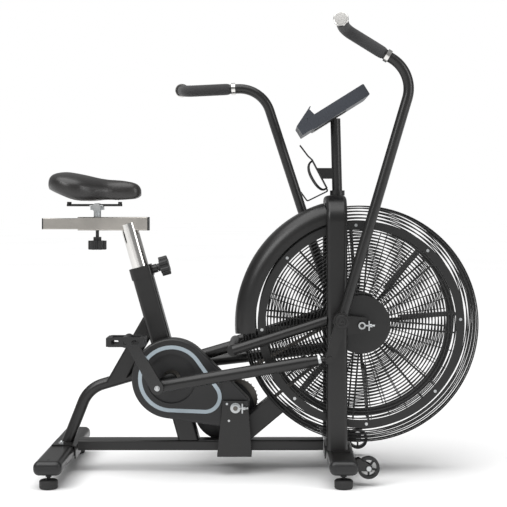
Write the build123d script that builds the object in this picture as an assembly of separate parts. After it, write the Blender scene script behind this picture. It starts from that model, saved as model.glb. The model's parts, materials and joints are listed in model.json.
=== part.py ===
from build123d import *
import math
import os

# Air bike: a stationary bike whose pedals and swinging handles drive a caged paddle fan.
# Frame: +X forward (towards the fan), +Y to the rider's left, +Z up, millimetres.
# Origin: the floor below the middle of the whole bike.

# ---- driving dimensions -------------------------------------------------------------
FAN_X, FAN_Z = 299.5, 444.0          # fan axle
CAGE_R = 346.0                       # outermost cage wire
CAGE_HALF = 117.0                    # cage face wires, from the middle plane
SHROUD_R = 368.0
CRANK_X, CRANK_Z = -253.0, 284.0     # crank axle
JACK_X, JACK_Z = -66.0, 200.0        # intermediate shaft between the two chains
PIVOT_X, PIVOT_Z = 237.0, 463.0      # handle pivots
LEG_X, LEG_Y = 228.0, 140.0          # the upright's two legs
LEG_WIDE, LEG_THICK = 60.0, 30.0
ARCH_TOP = 820.0
REAR_X, FRONT_X = -583.0, 240.0      # stabilisers
STAB_HALF, STAB_WIDE, STAB_TALL, STAB_Z = 282.0, 80.0, 40.0, 60.0
RAIL_WIDE, RAIL_LOW, RAIL_TOP = 60.0, 62.0, 93.0
SEAT_TILT = 15.9                     # the seat tube leans back, degrees
SEAT_FOOT_X = -207.0
SLEEVE_Z = 735.5                     # middle of the saddle slider's sleeve
PIN_RADIUS = 35.0                    # pins that drive the push rods
PEDAL_RADIUS = 170.0
RIGHT_PIN_ANGLE, RIGHT_PEDAL_ANGLE = 202.0, 131.6
ROD_LONG, LEVER_LONG = 496.4, 115.3
HANDLE_RISE = 734.0                  # pivot to the corner of the handle's bend
HANDLE_BEND, HANDLE_TURN = 100.0, 74.8
HANDLE_TUBE_R, GRIP_R = 15.0, 18.0
CHAIN_Y, FAN_CHAIN_Y = -65.0, 72.0
CRANK_SPROCKET_R, JACK_SMALL_R = 92.0, 24.0
JACK_LARGE_R, HUB_SPROCKET_R = 62.0, 24.0
GUARD_Y, GUARD_R = -100.0, 116.8
RUN_GAP = 0.05                       # radial clearance of a shaft in its hole
SIDES = (-1, 1)                      # right, left


# ---- small building blocks ----------------------------------------------------------
def turned(x, z, angle, radius):
    """Point at an angle from +X towards +Z, in the XZ plane."""
    a = math.radians(angle)
    return x + radius * math.cos(a), z + radius * math.sin(a)


def slab(sketch, y0, y1):
    """A sketch drawn in X and Z, extruded from y0 to y1."""
    return extrude(Plane.XZ.offset(-y0) * sketch, amount=-(y1 - y0))


def disc(x, z, radius, y0, y1):
    return slab(Pos(x, z) * Circle(radius), y0, y1)


def ring(x, z, outer, inner, y0, y1):
    return slab(Pos(x, z) * (Circle(outer) - Circle(inner)), y0, y1)


def outline(points):
    return make_face(Polyline(*[(p[0], p[1]) for p in points], close=True))


def cylinder_between(start, end, radius):
    start, end = Vector(*start), Vector(*end)
    plane = Plane(origin=start, z_dir=end - start)
    return extrude(plane * Circle(radius), amount=(end - start).length)


def beam(start, end, across, along, corner=4.0, wall=0.0):
    """Rounded rectangular bar in the XZ plane; across is its width along Y."""
    start, end = Vector(*start), Vector(*end)
    plane = Plane(origin=start, x_dir=(0, 1, 0), z_dir=end - start)
    section = RectangleRounded(across, along, corner)
    if wall:
        section -= RectangleRounded(across - 2 * wall, along - 2 * wall, max(corner - wall, 0.6))
    return extrude(plane * section, amount=(end - start).length)


def bent_tube(points, radii, outer, wall=0.0):
    """Round tube along straight runs joined by tangent arcs."""
    path = FilletPolyline(*points, radius=radii) if len(points) > 2 else Line(*points)
    section = Circle(outer)
    if wall:
        section -= Circle(outer - wall)
    return sweep(Plane(origin=path @ 0, z_dir=path % 0) * section, path=path)


def belt_face(x1, z1, r1, x2, z2, r2):
    """Face bounded by two circles and their outer tangents."""
    gap, toward = math.hypot(x2 - x1, z2 - z1), math.degrees(math.atan2(z2 - z1, x2 - x1))
    lean = math.degrees(math.acos((r1 - r2) / gap))
    corners = [turned(x1, z1, toward + lean, r1), turned(x2, z2, toward + lean, r2),
               turned(x2, z2, toward - lean, r2), turned(x1, z1, toward - lean, r1)]
    return outline(corners) + Pos(x1, z1) * Circle(r1) + Pos(x2, z2) * Circle(r2)


def meeting_point(x1, z1, r1, x2, z2, r2, upper):
    """One of the two points where two circles meet."""
    gap, toward = math.hypot(x2 - x1, z2 - z1), math.atan2(z2 - z1, x2 - x1)
    lean = math.acos((r1 ** 2 + gap ** 2 - r2 ** 2) / (2 * r1 * gap))
    return turned(x1, z1, math.degrees(toward + (lean if upper else -lean)), r1)


def far_face(solid, direction):
    """The solid's flat face that lies furthest along a direction."""
    direction = Vector(*direction)
    return max(solid.faces().filter_by(GeomType.PLANE), key=lambda face: face.center().dot(direction))


def group(pieces):
    return Compound(children=[s for p in pieces for s in p.solids()])


parts = {}

# ---- base: stabilisers, rail, plates, end caps ------------------------------------------
def stabiliser(x):
    plane = Plane(origin=(x, -STAB_HALF, STAB_Z), x_dir=(1, 0, 0), z_dir=(0, 1, 0))
    section = RectangleRounded(STAB_WIDE, STAB_TALL, 17) - RectangleRounded(STAB_WIDE - 5, STAB_TALL - 5, 14.5)
    tube = extrude(plane * section, amount=2 * STAB_HALF)
    for side in SIDES:
        tube -= Pos(x, side * FOOT_Y, STAB_Z) * Cylinder(STUD_R + RUN_GAP, STAB_TALL + 10)
    return tube


def end_cap(x, side):
    plane = Plane(origin=(x, side * STAB_HALF, STAB_Z), x_dir=(1, 0, 0), z_dir=(0, side, 0))
    cap = extrude(plane * RectangleRounded(STAB_WIDE, STAB_TALL, 17), amount=22)
    outer_edges = cap.faces().sort_by(Axis.Y)[0 if side < 0 else -1].edges()
    return fillet(outer_edges, 14)


FOOT_Y, STUD_R = 272.0, 5.0
parts["rear_stabiliser"] = stabiliser(REAR_X)
parts["front_stabiliser"] = stabiliser(FRONT_X)
parts["stabiliser_end_caps"] = group([end_cap(x, s) for x in (REAR_X, FRONT_X) for s in SIDES])

RAIL_START, RAIL_END = REAR_X + STAB_WIDE / 2 + 7, FRONT_X - STAB_WIDE / 2 - 7
rail_mid = (RAIL_LOW + RAIL_TOP) / 2
rail_tall = RAIL_TOP - RAIL_LOW
parts["base_rail"] = beam((RAIL_START, 0, rail_mid), (RAIL_END, 0, rail_mid), RAIL_WIDE, rail_tall, 6, 2.5)

PLATE_T = 4.0


def saddle_plate(x, toward, wide_y):
    """Plate bent over a stabiliser: flat on top, and down the side that the rail meets."""
    near, bend = x - toward * (STAB_WIDE / 2 - 13), x + toward * (STAB_WIDE / 2 - 13)
    inside, outside = x + toward * (STAB_WIDE / 2 + 0.1), x + toward * (STAB_WIDE / 2 + 0.1 + PLATE_T)
    top = STAB_Z + STAB_TALL / 2 + 0.05 + PLATE_T
    shape = outline([(near, top - PLATE_T), (near, top), (bend, top), (outside, STAB_Z + 19),
                     (outside, STAB_Z - 17), (inside, STAB_Z - 17), (inside, STAB_Z + 17), (bend, top - PLATE_T)])
    return slab(shape, -wide_y / 2, wide_y / 2)


PLATE_WIDE = 110.0
rear_plate = saddle_plate(REAR_X, 1, PLATE_WIDE)
front_plate = saddle_plate(FRONT_X, -1, PLATE_WIDE)
PLATE_TOP = STAB_Z + STAB_TALL / 2 + 0.05 + PLATE_T
leg_plates = [Pos(FRONT_X, s * LEG_Y, PLATE_TOP - PLATE_T / 2) * Box(STAB_WIDE - 30, 50, PLATE_T) for s in SIDES]

WHEEL_X, WHEEL_Z, WHEEL_Y, WHEEL_R = 312.0, 52.0, 235.0, 31.0


def wheel_bracket(side):
    """Two ears that carry a transport wheel in front of the stabiliser."""
    ears = []
    for ear_y in (-18, 15):
        y0 = side * WHEEL_Y + ear_y
        shape = outline([(FRONT_X + 34, 76), (FRONT_X + 44, 79), (WHEEL_X + 9, WHEEL_Z + 7),
                         (WHEEL_X + 9, WHEEL_Z - 8), (WHEEL_X - 6, WHEEL_Z - 8), (FRONT_X + 40.3, 45)])
        ear = slab(shape, y0, y0 + 3) - disc(WHEEL_X, WHEEL_Z, 4, y0 - 1, y0 + 4)
        ears.append(ear)
    return ears


ears = wheel_bracket(-1) + wheel_bracket(1)
solid_stab = group([extrude(Plane(origin=(x, -STAB_HALF, STAB_Z), x_dir=(1, 0, 0), z_dir=(0, 1, 0))
                            * RectangleRounded(STAB_WIDE, STAB_TALL, 17), amount=2 * STAB_HALF)
                    for x in (REAR_X, FRONT_X)])
parts["mounting_plates"] = group([rear_plate, front_plate, *leg_plates, *[e - solid_stab for e in ears]])

# ---- levelling feet -----------------------------------------------------------------------
for name, x, side in (("rear_right", REAR_X, -1), ("rear_left", REAR_X, 1),
                      ("front_right", FRONT_X, -1), ("front_left", FRONT_X, 1)):
    pad = Pos(x, side * FOOT_Y, 13) * Cylinder(26, 26)
    pad = fillet(pad.edges().filter_by(GeomType.CIRCLE), 6)
    stud = Pos(x, side * FOOT_Y, 52.9) * Cylinder(STUD_R, 54)
    nut = Pos(x, side * FOOT_Y, 33) * extrude(RegularPolygon(8.5, 6), amount=6)
    parts[f"levelling_foot_{name}"] = pad + stud + nut

# ---- transport wheels ------------------------------------------------------------------------
for name, side in (("right", -1), ("left", 1)):
    y = side * WHEEL_Y
    rim = ring(WHEEL_X, WHEEL_Z, WHEEL_R, 23, y - 11, y + 11)
    hub = ring(WHEEL_X, WHEEL_Z, 9, 4 + RUN_GAP, y - 12, y + 12)
    for k in range(5):
        spoke = Pos(WHEEL_X, 0, WHEEL_Z) * Rot(0, 72 * k + 18, 0) * Pos(16, y, 0) * Box(17, 12, 5)
        hub += spoke
    parts[f"transport_wheel_{name}"] = rim + hub
wheel_bolts = []
for side in SIDES:
    y = side * WHEEL_Y
    shaft = disc(WHEEL_X, WHEEL_Z, 4, y - 18, y + 18)
    heads = disc(WHEEL_X, WHEEL_Z, 7, y - 23, y - 18.05) + disc(WHEEL_X, WHEEL_Z, 7, y + 18.05, y + 23)
    wheel_bolts.append(shaft + disc(WHEEL_X, WHEEL_Z, 4, y - 19, y + 19) + heads)

# ---- seat tube, rear arch, braces --------------------------------------------------------------
tilt = math.radians(SEAT_TILT)
seat_dir = Vector(-math.sin(tilt), 0, math.cos(tilt))


def seat_point(height):
    """Point on the seat tube's axis at a height above the floor."""
    return SEAT_FOOT_X - (height - RAIL_TOP) * math.tan(tilt), 0, height


SEAT_TOP_Z = 574.0
tube_foot, tube_head = Vector(*seat_point(RAIL_TOP - 12)), Vector(*seat_point(SEAT_TOP_Z))
rail_block = Pos((RAIL_START + RAIL_END) / 2, 0, rail_mid) * Box(RAIL_END - RAIL_START, RAIL_WIDE, rail_tall)
shell_block = disc(CRANK_X, CRANK_Z, 24, -44, 44)
SEAT_BOX = 60.0
seat_solid = beam(tube_foot, tube_head, SEAT_BOX, SEAT_BOX, 9)
seat_hollow = beam(tube_foot, tube_head, SEAT_BOX, SEAT_BOX, 9, 2.5)
crank_shell = ring(CRANK_X, CRANK_Z, 24, 18, -44, 44)
parts["seat_tube"] = group([seat_hollow - rail_block - shell_block, crank_shell])
CRANK_SHAFT_R = 10.0
bearing_rings = [ring(CRANK_X, CRANK_Z, 18, CRANK_SHAFT_R + RUN_GAP, y, y + 12) for y in (-44, 32)]

ARCH_R = 17.0
ARCH_SLOPE = math.radians(16.3)
arch_corner = (-508, 0, 243.5)
arch_head = (-240, 0, 243.5 + 268 * math.tan(ARCH_SLOPE))
arch_solid = bent_tube([(-578, 0, PLATE_TOP - 18), arch_corner, arch_head], 90, ARCH_R)
floor_cut = Pos(-570, 0, PLATE_TOP - 40) * Box(200, 200, 80)
arch_tube = bent_tube([(-578, 0, PLATE_TOP - 18), arch_corner, arch_head], 90, ARCH_R, 2.0)
parts["rear_arch_tube"] = (arch_tube - floor_cut - seat_solid).solids().sort_by(Axis.X)[0]

GUSSET_TOP = Vector(*seat_point(462))
GUSSET_FOOT = Vector(-431, 0, 254)
under_arch = slab(outline([(-560, 228.3), (-240, 321.9), (-240, 90), (-560, 90)]), -60, 60)
gusset = beam(GUSSET_FOOT, GUSSET_TOP, 50, 50, 7, 2.5) - seat_solid - arch_solid - under_arch
parts["gusset_brace"] = gusset.solids().sort_by(SortBy.VOLUME)[-1]

YOKE_X, YOKE_Z, FORK_R = -72.0, 371.0, 15.0
upper_start = (-240, 0, YOKE_Z - 168 * math.tan(ARCH_SLOPE))
yoke = bent_tube([(YOKE_X, -LEG_Y, YOKE_Z), (YOKE_X, LEG_Y, YOKE_Z)], 0, ARCH_R, 2.0)
for side in SIDES:
    low, high = sorted((side * (LEG_Y - 3), side * LEG_Y))
    yoke += disc(YOKE_X, YOKE_Z, ARCH_R - 1, low, high)
yoke_solid = bent_tube([(YOKE_X, -LEG_Y, YOKE_Z), (YOKE_X, LEG_Y, YOKE_Z)], 0, ARCH_R)
upper = bent_tube([upper_start, (YOKE_X, 0, YOKE_Z)], 0, ARCH_R, 2.0) - seat_solid - yoke_solid
upper_tube = upper.solids().sort_by(Axis.X)[-1]
fork_end = (LEG_X - LEG_WIDE / 2 + 6, 460)
forks = []
leg_block = group([Pos(LEG_X, s * LEG_Y, 450) * Box(LEG_WIDE, LEG_THICK, 720) for s in SIDES])
for side in SIDES:
    arm = bent_tube([(YOKE_X, side * LEG_Y, YOKE_Z), (fork_end[0], side * LEG_Y, fork_end[1])], 0, FORK_R, 2.0)
    arm = arm - leg_block - yoke_solid
    forks.append(arm.solids().sort_by(Axis.X)[-1])
parts["upper_fork"] = group([upper_tube, yoke, *forks])

# ---- upright: one bent tube, two legs joined over the cage ---------------------------------------
arch_mid_z = ARCH_TOP - LEG_THICK / 2
upright_path = FilletPolyline((LEG_X, -LEG_Y, PLATE_TOP), (LEG_X, -LEG_Y, arch_mid_z),
                              (LEG_X, LEG_Y, arch_mid_z), (LEG_X, LEG_Y, PLATE_TOP), radius=62)
upright_plane = Plane(origin=upright_path @ 0, x_dir=(1, 0, 0), z_dir=upright_path % 0)
upright_section = RectangleRounded(LEG_WIDE, LEG_THICK, 12) - RectangleRounded(LEG_WIDE - 4, LEG_THICK - 4, 10)
upright = sweep(upright_plane * upright_section, path=upright_path)
MAST_R = 15.0
mast_foot, mast_head = Vector(LEG_X + 8, 0, ARCH_TOP - 1), Vector(LEG_X + 2, 0, 1050)
parts["upright_frame"] = upright

# ---- strut from the rail to the cage, and the cross bracket of the intermediate shaft --------------
strut_foot, strut_head = Vector(-68, 0, 97.3), Vector(90, 0, 228.9)
strut = beam(strut_foot, strut_head, 56, 63, 6, 2.5) - rail_block
cage_keepout = disc(FAN_X, FAN_Z, CAGE_R + 1, -130, 130)
parts["cage_strut"] = (strut - cage_keepout).solids().sort_by(SortBy.VOLUME)[-1]

BRACKET_Y = 105.0
bracket_shape = outline([(-119.4, 57.5), (-19.1, 57.5), (-19.1, 66), (-29.9, 220.5), (-102.8, 220.5), (-119.4, 66)])
JACK_SHAFT_R = 6.5
bracket_sides = []
for side in SIDES:
    y0 = side * BRACKET_Y - 2
    cheek = slab(bracket_shape, y0, y0 + 4) - disc(JACK_X, JACK_Z, 15, y0 - 1, y0 + 5)
    bracket_sides.append(cheek)
floor_plate = Pos(-69.25, 0, 59.5) * Box(100.3, 2 * BRACKET_Y - 4, 4)
parts["drive_bracket"] = bracket_sides[0] + bracket_sides[1] + floor_plate
for side in SIDES:
    y0 = side * BRACKET_Y - 5
    bearing_rings.append(ring(JACK_X, JACK_Z, 15, JACK_SHAFT_R + RUN_GAP, y0, y0 + 10))
parts["shaft_bearings"] = group(bearing_rings)

# ---- fan axle, its plates and the chain tensioners --------------------------------------------------
AXLE_R = 6.0
plates, tensioners, axle_nuts = [], [], []
for side in SIDES:
    inner = side * LEG_Y - 3
    shape = outline([(LEG_X + LEG_WIDE / 2, FAN_Z - 28), (LEG_X + LEG_WIDE / 2, FAN_Z + 28),
                     (FAN_X + 14, FAN_Z + 22), (FAN_X + 14, FAN_Z - 22)])
    plates.append(slab(shape, inner, inner + 6) - disc(FAN_X, FAN_Z, AXLE_R, inner - 1, inner + 7))
    low, high = sorted((side * (LEG_Y + 3.05), side * (LEG_Y + 10)))
    nut_shape = Pos(FAN_X, FAN_Z) * (RegularPolygon(11, 6) - Circle(AXLE_R))
    axle_nuts.append(slab(nut_shape, low, high))
axle = disc(FAN_X, FAN_Z, AXLE_R, -LEG_Y - 18, LEG_Y + 18)
parts["fan_axle"] = group([axle, *plates, *axle_nuts])


def tensioner(x, z, y_mid, eye_r):
    """Eye bolt round a shaft, its cross plate and domed nut, pointing forward."""
    eye = ring(x, z, eye_r + 4.5, eye_r, y_mid - 3, y_mid + 3)
    shank = cylinder_between((x + eye_r + 2, y_mid, z), (x + 18, y_mid, z), 2.4) - eye
    plate = Pos(x + 20, y_mid, z) * Box(4, 10, 28)
    nut = cylinder_between((x + 22, y_mid, z), (x + 30, y_mid, z), 5.5)
    nut = fillet(far_face(nut, (1, 0, 0)).edges(), 2)
    nut += cylinder_between((x + 28, y_mid, z), (x + 37, y_mid, z), 3)
    return group([eye, shank, plate, nut])


for side in SIDES:
    tensioners.append(tensioner(FAN_X, FAN_Z, side * (LEG_Y + 14.2), AXLE_R + 0.1))
    tensioners.append(tensioner(JACK_X, JACK_Z, side * (BRACKET_Y + 9), JACK_SHAFT_R + 0.5))
parts["chain_tensioners"] = group(tensioners)

# ---- fan: hub with arms, and flat paddles --------------------------------------------------------------
HUB_R, BLADES, BLADE_ANGLE = 34.0, 8, 4.0
hub = ring(FAN_X, FAN_Z, HUB_R, AXLE_R + RUN_GAP, -60, 60)
hub += ring(FAN_X, FAN_Z, 16, AXLE_R + RUN_GAP, -100, 84)
for k in range(BLADES):
    arm = Pos(84, -14, 0) * Box(110, 16, 8)
    hub += Pos(FAN_X, 0, FAN_Z) * Rot(0, -(BLADE_ANGLE + 45 * k), 0) * arm
fan_spider = hub
blades = []
for k in range(BLADES):
    paddle = Pos(208, -14, 5.1) * Box(168, 146, 2)
    blades.append(Pos(FAN_X, 0, FAN_Z) * Rot(0, -(BLADE_ANGLE + 45 * k), 0) * paddle)
parts["fan_blades"] = group(blades)


def sprocket(x, z, radius, teeth, y_mid, bore, thick=3.0):
    tooth = outline([(radius - 1, -2.2), (radius + 3, -0.9), (radius + 3, 0.9), (radius - 1, 2.2)])
    step = 360 / teeth
    toothed = Circle(radius)
    for k in range(teeth):
        toothed += Rot(0, 0, k * step) * tooth
    return slab(Pos(x, z) * (toothed - Circle(bore)), y_mid - thick / 2, y_mid + thick / 2)


CHAIN_OUT, CHAIN_IN = 8.5, 4.5       # chain loop, outside and inside the sprocket radius
parts["fan_hub"] = group([fan_spider, sprocket(FAN_X, FAN_Z, HUB_SPROCKET_R, 12, FAN_CHAIN_Y, 16)])

# ---- intermediate shaft -----------------------------------------------------------------------------------
shaft = disc(JACK_X, JACK_Z, JACK_SHAFT_R, -118, 118)
shaft += ring(JACK_X, JACK_Z, 14, JACK_SHAFT_R, FAN_CHAIN_Y - 14, FAN_CHAIN_Y - 1.5)
shaft += ring(JACK_X, JACK_Z, 14, JACK_SHAFT_R, CHAIN_Y + 1.5, CHAIN_Y + 14)
parts["jackshaft"] = group([shaft, sprocket(JACK_X, JACK_Z, JACK_SMALL_R, 12, CHAIN_Y, JACK_SHAFT_R),
                            sprocket(JACK_X, JACK_Z, JACK_LARGE_R, 31, FAN_CHAIN_Y, JACK_SHAFT_R)])

# ---- chains: closed loops that clear the sprocket teeth -----------------------------------------------------
def chain_loop(x1, z1, r1, x2, z2, r2, y_mid):
    """Two side strips; the gap between them is where the teeth run."""
    loop = belt_face(x1, z1, r1 + CHAIN_OUT, x2, z2, r2 + CHAIN_OUT)
    loop -= belt_face(x1, z1, r1 + CHAIN_IN - 6, x2, z2, r2 + CHAIN_IN - 6)
    strips = [slab(loop, y_mid - 4.5, y_mid - 2.3), slab(loop, y_mid + 2.3, y_mid + 4.5)]
    outer = belt_face(x1, z1, r1 + CHAIN_OUT - 1, x2, z2, r2 + CHAIN_OUT - 1)
    outer -= belt_face(x1, z1, r1 + CHAIN_IN, x2, z2, r2 + CHAIN_IN)
    return strips[0] + strips[1] + slab(outer, y_mid - 2.3, y_mid + 2.3)


crank_chain = chain_loop(CRANK_X, CRANK_Z, CRANK_SPROCKET_R, JACK_X, JACK_Z, JACK_SMALL_R, CHAIN_Y)
fan_chain = chain_loop(JACK_X, JACK_Z, JACK_LARGE_R, FAN_X, FAN_Z, HUB_SPROCKET_R, FAN_CHAIN_Y)
parts["drive_chains"] = group([crank_chain, fan_chain])

# ---- crank: shaft with inner arms and pins, outer arms, chainring ------------------------------------------------
ARM_INNER = (128.0, 142.0)
ROD_PLANE = 176.0
ROD_R = 17.5
ARM_OUTER = (199.0, 214.0)
PEDAL_Y = (226.0, 308.0)
LEVER_Y = (198.5, 214.5)
crank = disc(CRANK_X, CRANK_Z, CRANK_SHAFT_R, -ARM_INNER[0], ARM_INNER[0])
pins, arms = [], []
PIN_R = 8.0
pedal_at, pin_at = {}, {}
for name, side in (("right", -1), ("left", 1)):
    turn = 0 if side < 0 else 180
    pin_at[name] = turned(CRANK_X, CRANK_Z, RIGHT_PIN_ANGLE + turn, PIN_RADIUS)
    pedal_at[name] = turned(CRANK_X, CRANK_Z, RIGHT_PEDAL_ANGLE + turn, PEDAL_RADIUS)
    px, pz = pin_at[name]
    low, high = sorted((side * ARM_INNER[0], side * ARM_INNER[1]))
    crank += slab(belt_face(CRANK_X, CRANK_Z, 20, px, pz, 16), low, high)
    low, high = sorted((side * ARM_INNER[1], side * (ARM_OUTER[1] - 1)))
    crank += disc(px, pz, PIN_R, low, high)
    ex, ez = pedal_at[name]
    low, high = sorted((side * ARM_OUTER[0], side * ARM_OUTER[1]))
    arm = slab(belt_face(px, pz, 18, ex, ez, 15), low, high)
    arm -= disc(px, pz, PIN_R, low - 1, high + 1)
    low, high = sorted((side * (ARM_OUTER[0] + 2), side * (PEDAL_Y[1] - 4)))
    arm += disc(ex, ez, 6, low, high)
    arms.append(arm)
parts["crankshaft"] = crank
parts["crank_arms"] = group(arms)
carrier = ring(CRANK_X, CRANK_Z, 26, CRANK_SHAFT_R, CHAIN_Y + 1.5, CHAIN_Y + 12)
chainring = sprocket(CRANK_X, CRANK_Z, CRANK_SPROCKET_R, 46, CHAIN_Y, CRANK_SHAFT_R)
parts["crank_sprocket"] = group([chainring, carrier])

# ---- pedals ------------------------------------------------------------------------------------------------------
for name, side in (("right", -1), ("left", 1)):
    ex, ez = pedal_at[name]
    low, high = sorted((side * PEDAL_Y[0], side * PEDAL_Y[1]))
    barrel = ring(ex, ez, 15, 6 + RUN_GAP, low, high)
    pedal = barrel
    for end_y in (low, high - 9):
        plate = RectangleRounded(106, 26, 8) - Circle(14)
        plate -= Pos(29, 0) * RectangleRounded(22, 12, 4)
        plate -= Pos(-29, 0) * RectangleRounded(22, 12, 4)
        cage = slab(Pos(ex, ez) * plate, end_y, end_y + 9)
        pedal += cage
    for x_off in (-46, 46):
        pedal += Pos(ex + x_off, (low + high) / 2, ez) * Box(14, high - low, 24)
    parts[f"pedal_{name}"] = pedal

# ---- push rods and handles -------------------------------------------------------------------------------------------
lever_at, lean = {}, {}
for name, side in (("right", -1), ("left", 1)):
    px, pz = pin_at[name]
    end = meeting_point(px, pz, ROD_LONG, PIVOT_X, PIVOT_Z, LEVER_LONG, False)
    lever_at[name] = end
    lean[name] = math.degrees(math.atan2(PIVOT_X - end[0], PIVOT_Z - end[1]))

for name, side in (("right", -1), ("left", 1)):
    px, pz = pin_at[name]
    ex, ez = lever_at[name]
    y = side * ROD_PLANE
    toward = Vector(ex - px, 0, ez - pz).normalized()
    start, end = Vector(px, y, pz), Vector(ex, y, ez)
    rod = cylinder_between(start + toward * 12, end - toward * 62, ROD_R)
    rod += disc(px, pz, 19, y - ROD_R, y + ROD_R)
    rod -= disc(px, pz, PIN_R + RUN_GAP, y - 30, y + 30)
    collar = cylinder_between(end - toward * 62, end - toward * 34, 15)
    neck = cylinder_between(end - toward * 34, end - toward * 8, 8)
    low, high = sorted((y - side * 7, side * (LEVER_Y[0] - 0.3)))
    eye = disc(ex, ez, 14, low, high)
    rod_end = collar + neck + eye - disc(ex, ez, 6.5, y - 30, y + 30)
    parts[f"push_rod_{name}"] = group([rod, rod_end])

HUB_Y = (158.0, 236.0)
HANDLE_Y = 206.5
PIVOT_PIN_R, HUB_OUT_R = 8.0, 24.0
GRIP_REACH = 234.0
OUT_LEAN = 20.0
handle_pins = []


def handle_frame(name):
    """Maps neutral handle coordinates (forward, up) to the row frame for that handle's lean."""
    angle = math.radians(lean[name])

    def place(forward, up, y):
        x = PIVOT_X + forward * math.cos(angle) + up * math.sin(angle)
        z = PIVOT_Z - forward * math.sin(angle) + up * math.cos(angle)
        return x, y, z
    return place


grip_dir = (-math.sin(math.radians(HANDLE_TURN)), math.cos(math.radians(HANDLE_TURN)))
for name, side in (("right", -1), ("left", 1)):
    place = handle_frame(name)

    def along_grip(distance, outward=0.0):
        lift = outward * math.tan(math.radians(OUT_LEAN))
        forward = grip_dir[0] * distance - lift * 0.79
        up = HANDLE_RISE + grip_dir[1] * distance + lift * 0.61
        return place(forward, up, side * (HANDLE_Y + outward))

    route = [place(0, 14, side * HANDLE_Y), place(0, HANDLE_RISE, side * HANDLE_Y), along_grip(GRIP_REACH)]
    tube = bent_tube(route, HANDLE_BEND, HANDLE_TUBE_R, 2.0)
    low, high = sorted((side * HUB_Y[0], side * HUB_Y[1]))
    hub_ring = ring(PIVOT_X, PIVOT_Z, HUB_OUT_R, PIVOT_PIN_R + RUN_GAP, low, high)
    tube -= disc(PIVOT_X, PIVOT_Z, HUB_OUT_R, low - 5, high + 5)
    ring_at, grip_at = 85.0, 97.0
    tube_end = Plane(origin=along_grip(grip_at + 20), z_dir=Vector(*along_grip(200)) - Vector(*along_grip(100)))
    tube -= extrude(tube_end * Circle(60), amount=260)
    tube = tube.solids().sort_by(SortBy.VOLUME)[-1]
    ex, ez = lever_at[name]
    low, high = sorted((side * LEVER_Y[0], side * LEVER_Y[1]))
    lever = slab(belt_face(PIVOT_X, PIVOT_Z, 17, ex, ez, 13), low, high)
    lever -= disc(PIVOT_X, PIVOT_Z, PIVOT_PIN_R + RUN_GAP, low - 1, high + 1)
    bolt_low, bolt_high = sorted((side * LEVER_Y[1], side * (LEVER_Y[1] + 6)))
    lever += disc(ex, ez, 9, bolt_low, bolt_high)
    parts[f"handle_{name}"] = hub_ring + lever + tube
    grip_path = FilletPolyline(along_grip(grip_at), along_grip(GRIP_REACH), along_grip(GRIP_REACH, 66), radius=34)
    grip_plane = Plane(origin=grip_path @ 0, z_dir=grip_path % 0)
    grip = sweep(grip_plane * Circle(GRIP_R), path=grip_path)
    sleeve = cylinder_between(along_grip(grip_at - 2), along_grip(grip_at + 20.3), HANDLE_TUBE_R + 0.05)
    parts[f"grip_{name}"] = grip - sleeve
    band = cylinder_between(along_grip(ring_at), along_grip(grip_at - 0.1), 19)
    band -= cylinder_between(along_grip(ring_at - 5), along_grip(grip_at + 5), HANDLE_TUBE_R + 0.05)
    cap_start, cap_dir = grip_path @ 1, (grip_path % 1)
    cap = extrude(Plane(origin=cap_start, z_dir=cap_dir) * Circle(21.5), amount=7)
    cap = fillet(far_face(cap, cap_dir).edges(), 2.5)
    parts[f"handle_trim_{name}"] = group([band, cap])
    low, high = sorted((side * (LEG_Y + LEG_THICK / 2), side * (HUB_Y[1] + 0.5)))
    pin = disc(PIVOT_X, PIVOT_Z, PIVOT_PIN_R, low, high)
    low, high = sorted((side * (HUB_Y[1] + 0.5), side * (HUB_Y[1] + 5)))
    washer = disc(PIVOT_X, PIVOT_Z, 14, low, high) - disc(PIVOT_X, PIVOT_Z, 5, low - 1, high + 1)
    handle_pins.append(pin + washer)

# ---- cage ------------------------------------------------------------------------------------------------------------
WIRE_R = 1.9
FACE_RINGS = [92 + 9.5 * k for k in range(20)]
CORNER_RINGS = [(309, 115), (319, 111.5), (329, 106), (338, 97.5), (344, 87)]
PERIMETER_Y = (-56, -28, 0, 28, 56)


def wire_ring(radius, y, thick=WIRE_R):
    return Pos(FAN_X, y, FAN_Z) * Rot(90, 0, 0) * Torus(radius, thick)


for name, side in (("right", -1), ("left", 1)):
    wires = [wire_ring(r, side * CAGE_HALF) for r in FACE_RINGS]
    for k in range(32):
        thick = 2.6 if k % 4 == 0 else 1.4
        start = Vector(86, side * (CAGE_HALF - WIRE_R - thick - 0.15), 0)
        spoke = cylinder_between(start, start + Vector(190, 0, 0), thick)
        wires.append(Pos(FAN_X, 0, FAN_Z) * Rot(0, -(11.25 * k - 5), 0) * spoke)
    low, high = sorted((side * (CAGE_HALF - 2), side * (CAGE_HALF + 1)))
    plate = ring(FAN_X, FAN_Z, 85, AXLE_R + 1, low, high)
    low, high = sorted((side * (CAGE_HALF - 5.5), side * (CAGE_HALF - 1)))
    band = ring(FAN_X, FAN_Z, 301, 277.5, low, high)
    parts[f"cage_grille_{name}"] = group([*wires, plate, band])
rim = [wire_ring(r, s * y) for r, y in CORNER_RINGS for s in SIDES]
rim += [wire_ring(CAGE_R - WIRE_R, y) for y in PERIMETER_Y]
parts["cage_rim_wires"] = group(rim)

# ---- shroud over the rear of the cage ------------------------------------------------------------------------------------
SHROUD_START, SHROUD_END = 107.0, 184.5
shroud_half = CAGE_HALF + 7


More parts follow.
